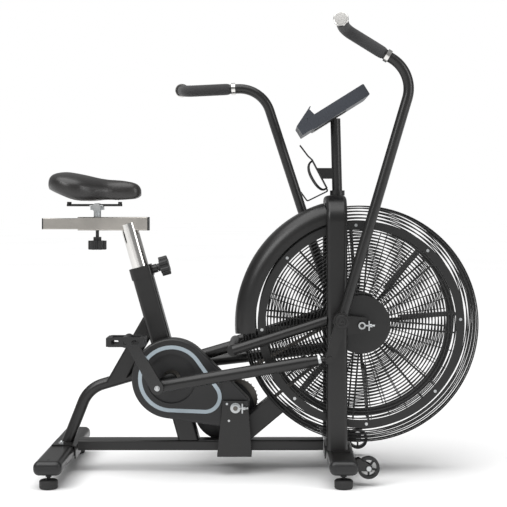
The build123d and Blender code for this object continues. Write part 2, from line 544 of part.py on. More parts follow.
def shroud_profile(inset):
    r, h = SHROUD_R - inset, shroud_half - inset
    inner = 308.0 - (1 if inset else 0)
    line = Polyline((inner, -h), (r - 45, -h))
    left = ThreePointArc((r - 45, -h), (r - 13.2, -h + 13.2), (r, -h + 45))
    top = Line((r, -h + 45), (r, h - 45))
    right = ThreePointArc((r, h - 45), (r - 13.2, h - 13.2), (r - 45, h))
    return make_face([line, left, top, right, Polyline((r - 45, h), (inner, h)), Line((inner, h), (inner, -h))])


shroud_plane = Plane(origin=(FAN_X, 0, FAN_Z), x_dir=(1, 0, 0), z_dir=(0, 0, 1))
shroud_ring = revolve(shroud_plane * shroud_profile(0), axis=Axis((FAN_X, 0, FAN_Z), (0, -1, 0)),
                      revolution_arc=SHROUD_END - SHROUD_START)
shroud_core = revolve(shroud_plane * shroud_profile(2.5), axis=Axis((FAN_X, 0, FAN_Z), (0, -1, 0)),
                      revolution_arc=360)
shroud = shroud_ring - shroud_core
shroud = Pos(FAN_X, 0, FAN_Z) * Rot(0, -SHROUD_START, 0) * Pos(-FAN_X, 0, -FAN_Z) * shroud
parts["fan_shroud"] = shroud

# ---- chain guard, its stripe, and the fan chain's cover -------------------------------------------------------------------
TAIL_X = -27.0
upper_turn = 45.0
top_touch = turned(CRANK_X, CRANK_Z, upper_turn, GUARD_R)
low_touch = turned(CRANK_X, CRANK_Z, 261.5, GUARD_R)
tail_top = (TAIL_X, top_touch[1] - (TAIL_X - top_touch[0]))
tail_low = (TAIL_X, low_touch[1] - (TAIL_X - low_touch[0]) * math.tan(math.radians(8.5)))


def guard_face(shrink):
    tail = outline([(CRANK_X, CRANK_Z), top_touch, tail_top, tail_low, low_touch])
    whole = Pos(CRANK_X, CRANK_Z) * Circle(GUARD_R) + tail
    return offset(whole, amount=-shrink, kind=Kind.INTERSECTION) if shrink else whole


GUARD_BACK, GUARD_WALL = -48.0, 2.5
guard_body = slab(guard_face(0), GUARD_Y, GUARD_BACK)
front_edges = guard_body.faces().sort_by(Axis.Y)[0].edges()
guard_body = fillet(front_edges, 7)
guard_body -= disc(CRANK_X, CRANK_Z, 72, GUARD_Y - 1, GUARD_Y + 8)
cavity = slab(guard_face(GUARD_WALL + 1), GUARD_Y + GUARD_WALL + 4, GUARD_BACK + 1)
cavity -= disc(CRANK_X, CRANK_Z, 75, GUARD_Y, GUARD_Y + 8 + GUARD_WALL)
guard_body -= cavity
guard_body -= disc(CRANK_X, CRANK_Z, 26, GUARD_Y - 5, GUARD_Y + 20)
guard_body -= disc(JACK_X, JACK_Z, 15.5, GUARD_Y - 5, GUARD_Y + 20)
stripe_big, stripe_lobe = 97.5, 48.5
LOBE_X, LOBE_Z = -155.0, 231.0
stripe = belt_face(CRANK_X, CRANK_Z, stripe_big, LOBE_X, LOBE_Z, stripe_lobe)
stripe -= belt_face(CRANK_X, CRANK_Z, stripe_big - 11, LOBE_X, LOBE_Z, stripe_lobe - 11)
guard_body -= slab(stripe, GUARD_Y - 1, GUARD_Y + 1.5)
guard_body -= Pos(-50, GUARD_Y, 250) * Box(118, 7, 400)
parts["chain_guard"] = guard_body
parts["guard_stripe"] = slab(stripe, GUARD_Y - 0.3, GUARD_Y + 1.5)

COVER_X, COVER_Z, COVER_R = -104.0, 170.0, 92.0
cover = disc(COVER_X, COVER_Z, COVER_R, 56, 92) - disc(COVER_X, COVER_Z, COVER_R - 3, 59, 89)
cover -= disc(JACK_X, JACK_Z, 18, 50, 100)
chain_way = belt_face(JACK_X, JACK_Z, JACK_LARGE_R + 12, FAN_X, FAN_Z, HUB_SPROCKET_R + 12)
cover -= slab(chain_way, 62, 86)
cover -= slab(outline([(-200, 0), (40, 0), (40, 58), (-200, 58)]), 40, 110)
parts["fan_chain_cover"] = cover - parts["drive_bracket"]

# ---- seat post, slider, saddle -----------------------------------------------------------------------------------------------
POST_R = 25.0
collar_low, collar_high = Vector(*seat_point(SEAT_TOP_Z)), Vector(*seat_point(SEAT_TOP_Z + 33))
collar = beam(collar_low, collar_high, 66, 66, 12)
boss_mid = (collar_low + collar_high) / 2
forward = Vector(math.cos(tilt), 0, math.sin(tilt))
boss = cylinder_between(boss_mid + forward * 26, boss_mid + forward * 48, 13)
post_low = Vector(*seat_point(400))
post_bore = cylinder_between(seat_point(350), seat_point(700), POST_R + RUN_GAP)
stem_bore = cylinder_between(boss_mid + forward * 20, boss_mid + forward * 60, 5 + RUN_GAP)
parts["seat_collar"] = collar + boss - post_bore - stem_bore
post = cylinder_between(post_low, Vector(*seat_point(SLEEVE_Z)), POST_R)
post -= cylinder_between(post_low, Vector(*seat_point(SLEEVE_Z)), POST_R - 2.5)
sleeve_block = Pos(-434.8, 0, SLEEVE_Z) * Box(207.5, 40, 40)
post_body = (post - sleeve_block).solids().sort_by(SortBy.VOLUME)[-1]
parts["seat_post"] = post_body
SLEEVE_X = (-538.5, -331.0)
SADDLE_X = -482.0
SLIDE_BACK, SLIDE_FORWARD = 30.0, 80.0
sleeve_mid = sum(SLEEVE_X) / 2
sleeve_long = SLEEVE_X[1] - SLEEVE_X[0]
sleeve = Pos(sleeve_mid, 0, SLEEVE_Z) * (Rot(0, 90, 0) * extrude(
    RectangleRounded(40, 40, 3) - RectangleRounded(34, 34, 2), amount=sleeve_long / 2, both=True))
slot_low, slot_high = SADDLE_X - SLIDE_BACK - 15, SADDLE_X + SLIDE_FORWARD + 15
sleeve -= Pos((slot_low + slot_high) / 2, 0, SLEEVE_Z + 20) * Box(slot_high - slot_low, 24, 20)
sleeve -= Pos(SADDLE_X, 0, SLEEVE_Z - 20) * Cylinder(5 + RUN_GAP, 20)
front_cap = Pos(SLEEVE_X[1] + 2, 0, SLEEVE_Z) * Box(4, 40, 40)
parts["slider_sleeve"] = group([sleeve, front_cap])
BAR_X = (-645.5, -415.0)
CAP_T = 4.0
bar_mid, bar_long = (sum(BAR_X) + CAP_T) / 2, BAR_X[1] - BAR_X[0] - CAP_T
bar = Pos(bar_mid, 0, SLEEVE_Z) * (Rot(0, 90, 0) * extrude(
    RectangleRounded(33, 33, 2) - RectangleRounded(27, 27, 1), amount=bar_long / 2, both=True))
rear_cap = Pos(BAR_X[0] + CAP_T / 2, 0, SLEEVE_Z) * Box(CAP_T, 33, 33)
parts["slider_bar"] = group([bar, rear_cap])
stem_low = SLEEVE_Z + 16.5
CLAMP_Z, RAIL_Z = 784.0, 791.0
clamp = Pos(SADDLE_X, 0, (stem_low + CLAMP_Z) / 2) * Cylinder(11, CLAMP_Z - stem_low)
clamp += Pos(SADDLE_X, 0, CLAMP_Z) * Rot(90, 0, 0) * Cylinder(13, 52)
clamp += Pos(SADDLE_X, 0, CLAMP_Z) * Box(38, 30, 14)
for side in SIDES:
    clamp += cylinder_between((SADDLE_X - 88, side * 22, RAIL_Z), (SADDLE_X + 72, side * 22, RAIL_Z), 3.5)
    for end in (-84, 68):
        clamp += cylinder_between((SADDLE_X + end, side * 22, RAIL_Z), (SADDLE_X + end, side * 22, 801), 3.5)
parts["saddle_clamp"] = clamp

SADDLE_LOW = 800.0
saddle_sections = [(-620, 46, 806, 868), (-600, 92, 804, 884), (-560, 122, 803, 889),
                   (-510, 116, 803, 884), (-460, 78, 803, 876), (-420, 46, 804, 872),
                   (-380, 34, 806, 868), (-358, 22, 812, 862)]
faces = []
for x, half, low, high in saddle_sections:
    section = Plane(origin=(x, 0, (low + high) / 2), x_dir=(0, 1, 0), z_dir=(1, 0, 0))
    faces.append(section * RectangleRounded(2 * half, high - low, min(half, (high - low) / 2) * 0.7))
parts["saddle"] = loft(faces)


def star_knob(origin, direction, radius, thick, neck, lobes=6):
    """Lobed hand knob on a round neck that starts at the origin."""
    plane = Plane(origin=Vector(*origin) + Vector(*direction) * neck, z_dir=direction)
    shape = Circle(radius - 6)
    for k in range(lobes):
        shape += Rot(0, 0, k * 360 / lobes) * Pos(radius - 9, 0) * Circle(9)
    body = extrude(plane * shape, amount=thick)
    body = fillet(far_face(body, direction).edges(), 2.5)
    return body + cylinder_between(origin, Vector(*origin) + Vector(*direction) * (neck + 2), 12)


knob_base = boss_mid + forward * 50
knob = star_knob(knob_base, forward, 29, 26, 8)
parts["seat_post_knob"] = knob + cylinder_between(boss_mid + forward * 26.5, knob_base + forward, 5)
slider_knob = star_knob(Vector(SADDLE_X, 0, 696), Vector(0, 0, -1), 27.5, 27, 11)
parts["slider_knob"] = slider_knob + cylinder_between((SADDLE_X, 0, 695), (SADDLE_X, 0, SLEEVE_Z - 17), 5)

# ---- mast, console, bottle cage -----------------------------------------------------------------------------------------------
mast = bent_tube([mast_foot, mast_head], 0, MAST_R, 2.0)
collar_ring = cylinder_between(mast_foot, mast_foot + Vector(0, 0, 16), 22)
mast_solid = cylinder_between(mast_foot + Vector(0, 0, -10), mast_head, MAST_R)
arch_solid_top = Pos(LEG_X, 0, arch_mid_z) * Box(LEG_WIDE, 100, LEG_THICK)
mast_collar = collar_ring - mast_solid - arch_solid_top
CONSOLE_TILT = 32.0
console_plane = Plane(origin=(238, 0, 1082), x_dir=(math.cos(math.radians(CONSOLE_TILT)), 0,
                                                    math.sin(math.radians(CONSOLE_TILT))), z_dir=(0, -1, 0))


def console_box(x0, x1, z0, z1, half_y, corner=4.0):
    """Box in console axes: x up the slope, z out of the console's face."""
    corner = min(corner, (x1 - x0) / 2.5, (z1 - z0) / 2.5)
    shape = Pos((x0 + x1) / 2, (z0 + z1) / 2) * RectangleRounded(x1 - x0, z1 - z0, corner)
    return extrude(console_plane * shape, amount=half_y, both=True)


housing = console_box(-102, 91, -20, 17, 112, 4)
screen_pocket = console_box(-18, 76, 14.5, 30, 78, 0.5)
BUTTON_X, BUTTON_YS = -45.0, (-40, 40)
housing -= screen_pocket
button_parts = []
for k, y in enumerate(BUTTON_YS):
    spot = console_plane.from_local_coords((BUTTON_X, 17, -y))
    normal = Vector(-math.sin(math.radians(CONSOLE_TILT)), 0, math.cos(math.radians(CONSOLE_TILT)))
    housing -= cylinder_between(Vector(*spot) - normal * 6, Vector(*spot) + normal * 5, 9.3)
    button_parts.append(cylinder_between(Vector(*spot) - normal * 4, Vector(*spot) + normal * 2, 9))
parts["console_screen"] = console_box(-17.5, 75.5, 14.5, 16.6, 77.5, 0.5)
for label, button in zip(("right", "left"), button_parts):
    parts[f"console_button_{label}"] = button
rest_shape = outline([(-138.5, -16.6), (-138.5, 15), (-75, 44), (-74, 42), (-82, 38.2), (-77, 17.1),
                      (-102.1, 17.1), (-102.1, -16.6)])
book_rest = extrude(console_plane * rest_shape, amount=112, both=True)
parts["console_housing"] = group([housing, book_rest])
console_plate = console_box(-98, 14, -23, -20.1, 30, 1)
mast_tube = (mast - arch_solid_top - console_box(-120, 120, -23, 60, 120)).solids().sort_by(SortBy.VOLUME)[-1]
parts["mast"] = group([mast_tube, mast_collar, console_plate])

bracket_outline = outline([(176, 902), (228, 902), (228, 870), (193, 870)])
bottle_bracket = slab(bracket_outline, -10, 10) - mast_solid
spine = beam((160, 0, 927), (205, 0, 841), 24, 5, 2)
bottle_bracket = (bottle_bracket - spine).solids().sort_by(SortBy.VOLUME)[-1]
tip_path = FilletPolyline((124, 0, 970), (148, 0, 938), (161, 0, 926), radius=20)
tip_strip = sweep(Plane(origin=tip_path @ 0, x_dir=(0, 1, 0), z_dir=tip_path % 0) * Rectangle(22, 4), path=tip_path)
tab_path = FilletPolyline((203, 0, 843), (207, 0, 833), (146, 0, 803), (126, 0, 831), radius=(4, 5))
tab_strip = sweep(Plane(origin=tab_path @ 0, x_dir=(0, 1, 0), z_dir=tab_path % 0) * Rectangle(22, 4), path=tab_path)
wings = []
for side in SIDES:
    wing_path = Spline((158, side * 9, 921), (150, side * 30, 900), (162, side * 37, 868), (190, side * 22, 838),
                       (201, side * 9, 840))
    wings.append(sweep(Plane(origin=wing_path @ 0, z_dir=wing_path % 0) * Circle(3), path=wing_path))
holder = spine + tip_strip + tab_strip
parts["bottle_cage"] = group([holder, bottle_bracket, *[w - holder for w in wings]])

# ---- fasteners that stay with the frame ---------------------------------------------------------------------------------------
def dome_bolt(x, y, z, radius=8.0):
    return Pos(x, y, z + 3) * Cylinder(radius, 6) + Pos(x, y, z + 5.5) * Sphere(radius * 0.65)


bolts = [*wheel_bolts, *handle_pins]
for x in (REAR_X, FRONT_X):
    for y in (-42, 42):
        bolts.append(dome_bolt(x, y, PLATE_TOP + 0.05))
for k in range(8):
    bx, bz = turned(FAN_X, FAN_Z, 3 + 45 * k, 289)
    for side in SIDES:
        low, high = sorted((side * (CAGE_HALF - 0.95), side * (CAGE_HALF + 2.2)))
        bolts.append(disc(bx, bz, 4.5, low, high))
for x, z in ((-91, 212), (-85, 163)):
    bolts.append(disc(x, z, 3.4, -BRACKET_Y - 5, -BRACKET_Y - 2.05))
    bolts.append(disc(x, z, 3.4, BRACKET_Y + 2.05, BRACKET_Y + 5))
parts["frame_bolts"] = group(bolts)

os.makedirs("parts", exist_ok=True)
for name, shape in parts.items():
    export_step(shape, f"parts/{name}.step")
print(len(parts), "sub-parts")
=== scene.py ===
"""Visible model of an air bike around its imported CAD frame.

Materials for every CAD node, a padded saddle and foam grips, small fasteners, and the studio.
All lengths are in metres, in the frame of the CAD model: +X forward, +Y left, +Z up.
"""
import json
import math
import bmesh
import bpy
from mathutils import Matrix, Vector


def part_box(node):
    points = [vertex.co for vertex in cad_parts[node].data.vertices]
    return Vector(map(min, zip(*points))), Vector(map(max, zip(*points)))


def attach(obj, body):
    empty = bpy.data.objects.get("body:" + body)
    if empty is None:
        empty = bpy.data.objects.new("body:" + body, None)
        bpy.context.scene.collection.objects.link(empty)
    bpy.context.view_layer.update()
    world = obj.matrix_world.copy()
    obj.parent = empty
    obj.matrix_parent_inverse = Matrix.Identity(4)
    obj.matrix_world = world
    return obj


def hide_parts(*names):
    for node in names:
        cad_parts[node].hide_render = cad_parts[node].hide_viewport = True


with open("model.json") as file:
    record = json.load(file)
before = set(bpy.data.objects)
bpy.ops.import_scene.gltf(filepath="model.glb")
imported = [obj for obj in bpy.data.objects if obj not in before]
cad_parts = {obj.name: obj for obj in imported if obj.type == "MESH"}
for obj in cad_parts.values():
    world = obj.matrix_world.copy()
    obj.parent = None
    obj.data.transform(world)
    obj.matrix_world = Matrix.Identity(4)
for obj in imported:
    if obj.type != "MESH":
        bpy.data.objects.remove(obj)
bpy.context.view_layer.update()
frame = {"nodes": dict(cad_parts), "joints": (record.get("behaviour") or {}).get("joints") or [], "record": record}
scene = bpy.context.scene
nodes = frame["nodes"]
hinge_place = {joint["name"]: joint["pos_m"] for joint in frame["joints"] if "pos_m" in joint}
SIDES = (("right", -1), ("left", 1))


# ---- materials: every one is procedural, with its own grain and unevenness ----------------
PATCH_DETAIL, GRAIN_DETAIL = 6, 4
TINT_STOPS = (0.35, 0.7)
COAT_ROUGHNESS = 0.25
MIX_SOCKETS = {"RGBA": (6, 7, 2), "FLOAT": (2, 3, 0)}    # a Mix node's two inputs and its output, by type


def math_node(tree, operation, *values):
    """Math node on sockets or numbers. Returns its output."""
    node = tree.nodes.new("ShaderNodeMath")
    node.operation = operation
    for socket, value in zip(node.inputs, values):
        if isinstance(value, (int, float)):
            socket.default_value = value
        else:
            tree.links.new(value, socket)
    return node.outputs["Value"]


def surface(name, dark, light, rough, spread, grain, bump, depth=0.0004, metal=0.0, coat=0.0,
            sheen=0.0, stretch=(1, 1, 1), patches=5.0, cells=False, aniso=0.0):
    """Principled surface: colour and roughness drift in large patches, and a fine grain bumps it."""
    mat = bpy.data.materials.new(name)
    mat.use_nodes = True
    tree = mat.node_tree
    shader = tree.nodes["Principled BSDF"]
    where = tree.nodes.new("ShaderNodeTexCoord").outputs["Object"]

    patch = tree.nodes.new("ShaderNodeTexNoise")
    patch.inputs["Scale"].default_value = patches
    patch.inputs["Detail"].default_value = PATCH_DETAIL
    tree.links.new(where, patch.inputs["Vector"])
    tint = tree.nodes.new("ShaderNodeValToRGB")
    for element, position, colour in zip(tint.color_ramp.elements, TINT_STOPS, (dark, light)):
        element.position = position
        element.color = (*colour, 1)
    tree.links.new(patch.outputs["Fac"], tint.inputs["Fac"])
    tree.links.new(tint.outputs["Color"], shader.inputs["Base Color"])

    mapping = tree.nodes.new("ShaderNodeMapping")
    mapping.inputs["Scale"].default_value = stretch
    tree.links.new(where, mapping.inputs["Vector"])
    if cells:
        fine = tree.nodes.new("ShaderNodeTexVoronoi")
        height = fine.outputs["Distance"]
    else:
        fine = tree.nodes.new("ShaderNodeTexNoise")
        fine.inputs["Detail"].default_value = GRAIN_DETAIL
        height = fine.outputs["Fac"]
    fine.inputs["Scale"].default_value = grain
    tree.links.new(mapping.outputs["Vector"], fine.inputs["Vector"])

    half_patch = math_node(tree, "MULTIPLY", patch.outputs["Fac"], 0.5)
    rougher = tree.nodes.new("ShaderNodeMapRange")
    rougher.inputs["To Min"].default_value = rough - spread
    rougher.inputs["To Max"].default_value = rough + spread
    tree.links.new(math_node(tree, "MULTIPLY_ADD", height, 0.5, half_patch), rougher.inputs["Value"])
    tree.links.new(rougher.outputs["Result"], shader.inputs["Roughness"])
    relief = tree.nodes.new("ShaderNodeBump")
    relief.inputs["Strength"].default_value = bump
    relief.inputs["Distance"].default_value = depth
    tree.links.new(height, relief.inputs["Height"])
    tree.links.new(relief.outputs["Normal"], shader.inputs["Normal"])

    for socket, value in (("Metallic", metal), ("Coat Weight", coat), ("Coat Roughness", COAT_ROUGHNESS),
                          ("Sheen Weight", sheen), ("Anisotropic", aniso)):
        shader.inputs[socket].default_value = value
    return mat


def blend_into(tree, socket, kind, factor, value):
    """Where the factor is 1, a fixed value takes the place of what the socket is linked to."""
    first, second, result = MIX_SOCKETS[kind]
    mix = tree.nodes.new("ShaderNodeMix")
    mix.data_type = kind
    tree.links.new(factor, mix.inputs[0])
    tree.links.new(socket.links[0].from_socket, mix.inputs[first])
    mix.inputs[second].default_value = value
    tree.links.new(mix.outputs[result], socket)


def end_zone(mat, low_x, high_x, colour, rough):
    """Below low_x and above high_x a metal surface turns to a dark one that isn't metal."""
    tree = mat.node_tree
    shader = tree.nodes["Principled BSDF"]
    split = tree.nodes.new("ShaderNodeSeparateXYZ")
    tree.links.new(tree.nodes.new("ShaderNodeTexCoord").outputs["Object"], split.inputs["Vector"])
    below = math_node(tree, "LESS_THAN", split.outputs["X"], low_x)
    above = math_node(tree, "GREATER_THAN", split.outputs["X"], high_x)
    beyond = math_node(tree, "MAXIMUM", below, above)
    blend_into(tree, shader.inputs["Base Color"], "RGBA", beyond, (*colour, 1))
    blend_into(tree, shader.inputs["Roughness"], "FLOAT", beyond, rough)
    tree.links.new(math_node(tree, "SUBTRACT", 1.0, beyond), shader.inputs["Metallic"])


SURFACES = {
    "frame_paint": dict(dark=(0.0055, 0.0053, 0.0053), light=(0.0095, 0.009, 0.0088),
                        rough=0.33, spread=0.07, grain=900, bump=0.2),
    "cage_paint": dict(dark=(0.005, 0.005, 0.005), light=(0.009, 0.009, 0.009),
                       rough=0.42, spread=0.08, grain=900, bump=0.15),
    "fan_paint": dict(dark=(0.012, 0.012, 0.013), light=(0.022, 0.022, 0.023),
                      rough=0.5, spread=0.1, grain=500, bump=0.2),
    "crank_paint": dict(dark=(0.004, 0.004, 0.004), light=(0.008, 0.008, 0.008),
                        rough=0.24, spread=0.07, grain=700, bump=0.12, coat=0.2),
    "chain_steel": dict(dark=(0.12, 0.11, 0.10), light=(0.24, 0.23, 0.21),
                        rough=0.38, spread=0.1, grain=700, bump=0.3, metal=1.0),
    "zinc": dict(dark=(0.40, 0.42, 0.43), light=(0.58, 0.59, 0.59),
                 rough=0.3, spread=0.1, grain=300, bump=0.15, metal=1.0, patches=30),
    "brushed_stainless": dict(dark=(0.42, 0.40, 0.37), light=(0.56, 0.53, 0.49),
                              rough=0.34, spread=0.08, grain=260, bump=0.35, depth=0.0002,
                              metal=1.0, stretch=(0.05, 3, 6), patches=9, aniso=0.5),
    "chrome": dict(dark=(0.62, 0.61, 0.59), light=(0.72, 0.71, 0.69),
                   rough=0.13, spread=0.05, grain=200, bump=0.05, metal=1.0),
    "black_plastic": dict(dark=(0.0065, 0.0065, 0.007), light=(0.011, 0.011, 0.0115),
                          rough=0.42, spread=0.07, grain=1500, bump=0.3),
    "stripe_plastic": dict(dark=(0.30, 0.36, 0.40), light=(0.37, 0.43, 0.47),
                           rough=0.35, spread=0.06, grain=900, bump=0.1),
    "console_plastic": dict(dark=(0.020, 0.023, 0.030), light=(0.036, 0.041, 0.052),
                            rough=0.48, spread=0.09, grain=900, bump=0.35),
    "screen": dict(dark=(0.020, 0.026, 0.026), light=(0.030, 0.036, 0.036),
                   rough=0.12, spread=0.04, grain=50, bump=0.02, coat=0.6),
    "button_plastic": dict(dark=(0.07, 0.07, 0.08), light=(0.10, 0.10, 0.11),
                           rough=0.4, spread=0.08, grain=900, bump=0.2),
    "black_rubber": dict(dark=(0.010, 0.010, 0.010), light=(0.020, 0.020, 0.020),
                         rough=0.62, spread=0.1, grain=700, bump=0.5),
    "grip_foam": dict(dark=(0.016, 0.016, 0.017), light=(0.032, 0.032, 0.033),
                      rough=0.8, spread=0.08, grain=1100, bump=0.8, depth=0.0006, sheen=0.15),
    "saddle_leather": dict(dark=(0.012, 0.011, 0.011), light=(0.021, 0.019, 0.018),
                           rough=0.36, spread=0.06, grain=650, bump=0.35, depth=0.0003,
                           coat=0.15, cells=True),
}
looks = {name: surface(name, **facts) for name, facts in SURFACES.items()}

# The stainless slider bar and its sleeve end in plastic plugs, which are part of the same CAD nodes.
PLUG, PLUG_SEAM = 0.004, 0.0001
PLUG_BLACK, PLUG_ROUGH = (0.012, 0.012, 0.012), 0.5
bar_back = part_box("slider_bar")[0].x
sleeve_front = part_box("slider_sleeve")[1].x
end_zone(looks["brushed_stainless"], bar_back + PLUG - PLUG_SEAM, sleeve_front - PLUG - PLUG_SEAM,
         PLUG_BLACK, PLUG_ROUGH)

# The saddle clamp is bare zinc. Its rails, which reach forward and back past it, are black.
CLAMP_X, CLAMP_HALF = -0.482, 0.020
RAIL_BLACK, RAIL_ROUGH = (0.008, 0.008, 0.008), 0.4
clamp_zinc = surface("clamp_zinc", **SURFACES["zinc"])
end_zone(clamp_zinc, CLAMP_X - CLAMP_HALF, CLAMP_X + CLAMP_HALF, RAIL_BLACK, RAIL_ROUGH)

for entry in frame["record"]["subparts"]:
    node_mesh = nodes[entry["node"]].data
    node_mesh.materials.clear()
    node_mesh.materials.append(looks[entry["material_slot"]])
nodes["saddle_clamp"].data.materials[0] = clamp_zinc


# ---- mesh helpers -----------------------------------------------------------------------------
BEVEL_SEGMENTS = 3
HEAD_SHOULDER, HEAD_TOP, WASHER_OUT = 0.8, 0.86, 1.35    # shares of a bolt head's height and radius


def finish_piece(name, mesh_bm, body, slot, smooth=True, bevel=0.0, level=0, stands_for=()):
    """Turns a bmesh into a piece that rides on a body, and uses the bmesh up."""
    bmesh.ops.recalc_face_normals(mesh_bm, faces=mesh_bm.faces)
    mesh = bpy.data.meshes.new(name)
    mesh_bm.to_mesh(mesh)
    mesh_bm.free()
    obj = bpy.data.objects.new(name, mesh)
    scene.collection.objects.link(obj)
    if smooth:
        for face in mesh.polygons:
            face.use_smooth = True
    mesh.materials.append(looks[slot])
    if bevel:
        edge = obj.modifiers.new("edge", "BEVEL")
        edge.width = bevel
        edge.segments = BEVEL_SEGMENTS
        edge.limit_method = "ANGLE"
        edge.harden_normals = True
    if level:
        sub = obj.modifiers.new("smooth", "SUBSURF")
        sub.levels = sub.render_levels = level
    if stands_for:
        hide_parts(*stands_for)
    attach(obj, body)
    return obj


def rings_mesh(rings):
    """Closed skin over a list of rings of equal length."""
    skin = bmesh.new()
    rows = [[skin.verts.new(p) for p in ring] for ring in rings]
    count = len(rows[0])
    for a, b in zip(rows, rows[1:]):
        for k in range(count):
            skin.faces.new((a[k], a[(k + 1) % count], b[(k + 1) % count], b[k]))
    skin.faces.new(rows[0])
    skin.faces.new(list(reversed(rows[-1])))
    return skin


def circle(center, u, v, radius, count):
    """Ring of points around a center, in the plane of two unit vectors."""
    angles = [2 * math.pi * k / count for k in range(count)]
    return [center + (u * math.cos(a) + v * math.sin(a)) * radius for a in angles]


def tube_rings(points, radii, count=32):
    """Rings along a path, each square to it, with a radius for each point."""
    rings, side = [], None
    for k, (point, radius) in enumerate(zip(points, radii)):
        before, after = points[max(k - 1, 0)], points[min(k + 1, len(points) - 1)]
        tangent = (after - before).normalized()
        if side is None:
            side = tangent.orthogonal().normalized()
        side = (side - tangent * side.dot(tangent)).normalized()
        rings.append(circle(point, side, tangent.cross(side), radius, count))
    return rings


def lathe(origin, axis, profile, count=40):
    """Turned solid: profile is (distance along the axis, radius)."""
    origin, axis = Vector(origin), Vector(axis).normalized()
    u = axis.orthogonal().normalized()
    v = axis.cross(u)
    return rings_mesh([circle(origin + axis * d, u, v, r, count) for d, r in profile])


def hex_head(origin, axis, across, tall, washer=0.0):
    """Hexagon bolt head with a chamfered top, on a washer if that has a thickness."""
    radius = across / math.sqrt(3)
    profile = [(washer, radius), (washer + tall * HEAD_SHOULDER, radius), (washer + tall, radius * HEAD_TOP)]
    head = lathe(origin, axis, profile, 6)
    if washer:
        spare = bpy.data.meshes.new("washer")
        washer_bm = lathe(origin, axis, [(0, radius * WASHER_OUT), (washer, radius * WASHER_OUT)], 28)
        washer_bm.to_mesh(spare)
        washer_bm.free()
        head.from_mesh(spare)
        bpy.data.meshes.remove(spare)
    return head


# ---- saddle: crowned cover with a skirt tucked under -------------------------------------------
SADDLE = [  # x, half width, top, skirt bottom
    (-0.6232, 0.028, 0.864, 0.838), (-0.620, 0.058, 0.876, 0.833), (-0.610, 0.086, 0.886, 0.828),
    (-0.592, 0.108, 0.8895, 0.820), (-0.568, 0.1195, 0.8895, 0.809), (-0.545, 0.123, 0.886, 0.799),
    (-0.520, 0.117, 0.881, 0.795), (-0.495, 0.099, 0.875, 0.796), (-0.470, 0.075, 0.8695, 0.800),
    (-0.445, 0.0545, 0.8665, 0.800), (-0.418, 0.044, 0.8652, 0.799), (-0.390, 0.039, 0.8635, 0.801),
    (-0.369, 0.034, 0.8595, 0.804), (-0.357, 0.026, 0.852, 0.808), (-0.351, 0.014, 0.840, 0.816)]
TOP_WIDE, TOP_HIGH, LOW_WIDE, LOW_HIGH = 0.78, 0.9, 0.6, 0.55    # powers: under 1 is fuller than an ellipse
DIP_DEPTH, DIP_WIDTH, DIP_FULL = 0.004, 0.012, 0.08      # groove along the top, full where the saddle is wide
TUCK, TUCK_FULL, SKIRT = 0.016, 0.05, 0.8                # hollow underside, within this share of the width
VOXEL = 0.0045
HELD_BELOW, HELD_REAR, REAR_X = 0.822, 0.012, -0.56      # the cloth is held at the skirt, higher at the rear
CLOTH_FRAMES, CLOTH_QUALITY, CLOTH_MASS, PRESSURE = 14, 5, 0.3, 3.0
SWELL_CAP = 0.002
SMOOTHINGS = 2


def saddle_ring(x, half, top, low, count=44):
    """Cross section: soft crown, full sides, a skirt tucked under, and a dip along the middle."""
    ring = []
    mid, tall = (top + low) / 2, (top - low) / 2
    for k in range(count):
        a = 2 * math.pi * k / count
        c, s = math.cos(a), math.sin(a)
        y = half * math.copysign(abs(c) ** (TOP_WIDE if s > 0 else LOW_WIDE), c)
        z = mid + tall * math.copysign(abs(s) ** (TOP_HIGH if s > 0 else LOW_HIGH), s)
        if s > 0:
            z -= DIP_DEPTH * math.exp(-(y / DIP_WIDTH) ** 2) * min(1, half / DIP_FULL)
        if s < 0 and abs(y) < half * SKIRT:
            z += TUCK * min(1, half / TUCK_FULL) * (1 - (abs(y) / (half * SKIRT)) ** 2)
        ring.append((x, y, z))
    return ring


def evaluated(obj):
    """The object with its modifiers applied."""
    return obj.evaluated_get(bpy.context.evaluated_depsgraph_get())


def voxel_pad(source_bm):
    """Object with an even voxel mesh of the smoothed source, which is used up."""
    source = bpy.data.meshes.new("saddle_source")
    source_bm.to_mesh(source)
    source_bm.free()
    pad = bpy.data.objects.new("saddle_pad", source)
    scene.collection.objects.link(pad)
    rounding = pad.modifiers.new("smooth", "SUBSURF")
    rounding.levels = rounding.render_levels = 1
    grid = pad.modifiers.new("grid", "REMESH")
    grid.mode = "VOXEL"
    grid.voxel_size = VOXEL
    grid.use_smooth_shade = True
    bpy.context.view_layer.update()
    even = bpy.data.meshes.new_from_object(evaluated(pad))
    pad.modifiers.clear()
    pad.data = even
    return pad


def inflate(pad):
    """Cloth under pressure, held at the skirt, with each point's move capped."""
    mesh = pad.data
    start = [v.co.copy() for v in mesh.vertices]
    held = [k for k, co in enumerate(start) if co.z < HELD_BELOW + HELD_REAR * (co.x < REAR_X)]
    pad.vertex_groups.new(name="held").add(held, 1.0, "REPLACE")
    cloth = pad.modifiers.new("cloth", "CLOTH")
    cloth.settings.quality = CLOTH_QUALITY
    cloth.settings.mass = CLOTH_MASS
    cloth.settings.use_pressure = True
    cloth.settings.uniform_pressure_force = PRESSURE
    cloth.settings.vertex_group_mass = "held"
    cloth.settings.effector_weights.gravity = 0
    cloth.point_cache.frame_start = 1
    cloth.point_cache.frame_end = CLOTH_FRAMES
    for step in range(1, CLOTH_FRAMES + 1):
        scene.frame_set(step)
    moved = [v.co.copy() for v in evaluated(pad).data.vertices]
    pad.modifiers.clear()
    for vertex, old, new in zip(mesh.vertices, start, moved):
        shift = new - old
        if shift.length > SWELL_CAP:
            shift = shift.normalized() * SWELL_CAP
        vertex.co = old + shift
    scene.frame_set(1)


